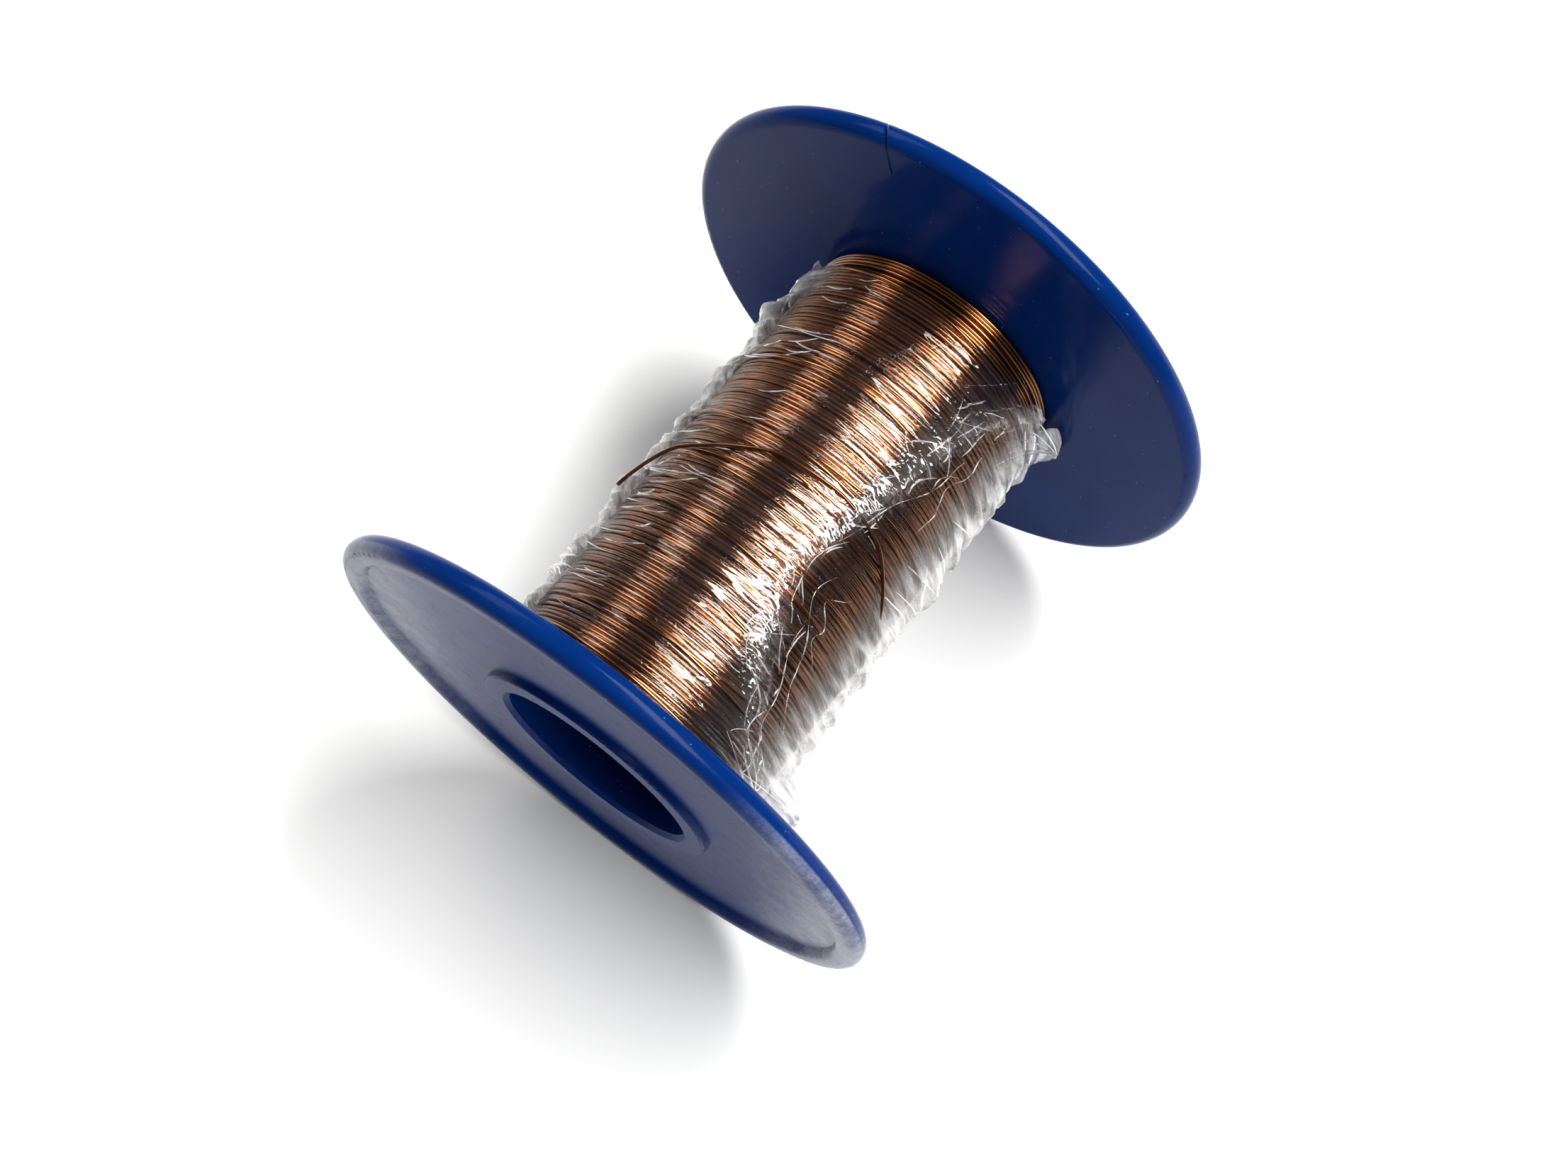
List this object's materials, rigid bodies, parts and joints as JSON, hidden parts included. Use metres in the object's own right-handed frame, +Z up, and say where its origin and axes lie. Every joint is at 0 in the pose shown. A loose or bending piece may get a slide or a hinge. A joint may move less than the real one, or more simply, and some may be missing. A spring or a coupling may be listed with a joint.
{
  "type": "wire spool",
  "caption": "Moulded plastic wire spool with round flanges, a spindle bore and a shallow winding of enamelled copper wire under clear stretch film.",
  "frame": {"origin": "on the bore's axis, halfway between the two lip faces", "axes": "+Y along the bore from the near flange to the far flange, the one with the wire slit; +Z up, with the axis level as the spool lies on its rims"},
  "size_m": [0.066, 0.0628, 0.066],
  "materials": {
    "blue_plastic": "glossy moulded plastic, royal to navy blue, lightly scuffed",
    "enamelled_wire": "copper wire under clear enamel",
    "clear_film": "clear stretch film, wrinkled"
  },
  "bodies": {
    "root": {"near_flange": "blue_plastic", "far_flange": "blue_plastic", "barrel": "blue_plastic", "wire_winding": "enamelled_wire", "loose_turn": "enamelled_wire", "stretch_film": "clear_film"}
  },
  "joints": []
}
